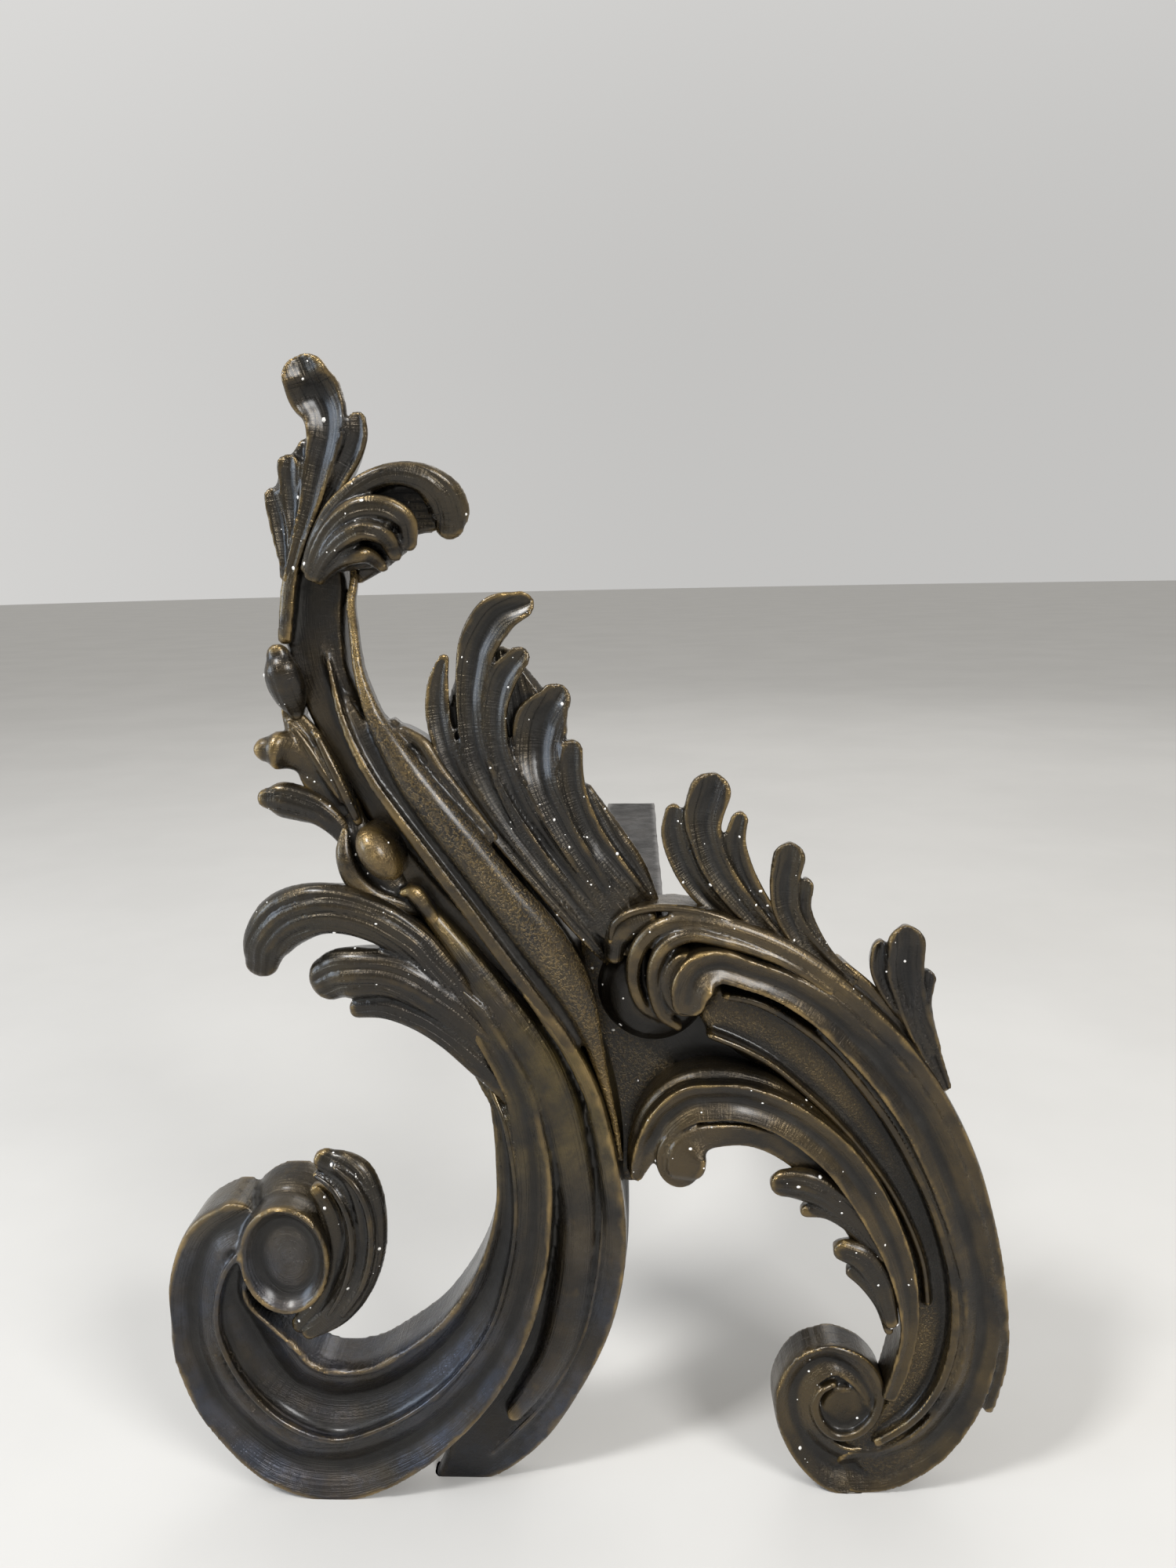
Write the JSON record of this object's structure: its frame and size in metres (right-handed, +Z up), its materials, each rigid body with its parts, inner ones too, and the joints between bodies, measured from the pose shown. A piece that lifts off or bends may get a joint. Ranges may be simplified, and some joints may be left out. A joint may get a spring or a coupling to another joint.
{
  "type": "andiron",
  "caption": "Rocaille scrolled andiron with acanthus leaves, screwed to a log bar that ends in a bent rear leg.",
  "frame": {"origin": "centre of the footprint on the hearth floor", "axes": "+X to the right of the decorated front seen from the room, +Y back along the log bar, +Z up"},
  "size_m": [0.1582, 0.262, 0.213],
  "materials": {
    "bronze_dark": "cast bronze with a worn brown-black patina",
    "bronze_rubbed": "cast bronze rubbed through to gold-brown on its high parts",
    "wrought_iron": "forged iron, matt brown-grey scale",
    "screw_steel": "darkened steel, slotted head"
  },
  "bodies": {
    "root": {"crest_leaf": "bronze_dark", "crest_curl": "bronze_dark", "bud_upper": "bronze_dark", "bud_middle": "bronze_dark", "husk_leaf": "bronze_dark", "berry": "bronze_rubbed", "berry_cup": "bronze_dark", "side_leaf": "bronze_dark", "mid_leaf": "bronze_dark", "volute_shell": "bronze_dark", "sprig_upper": "bronze_dark", "sprig_middle": "bronze_dark", "sprig_lower": "bronze_dark", "inner_leaf_upper": "bronze_dark", "inner_leaf_lower": "bronze_dark", "foot_volute": "bronze_rubbed", "inner_scroll": "bronze_dark", "scroll_head": "bronze_rubbed", "scroll_upper": "bronze_dark", "scroll_lower": "bronze_dark", "c_scroll": "bronze_dark", "web_plate": "bronze_dark", "log_bar": "wrought_iron", "screw_upper": "screw_steel", "screw_lower": "screw_steel"}
  },
  "joints": []
}
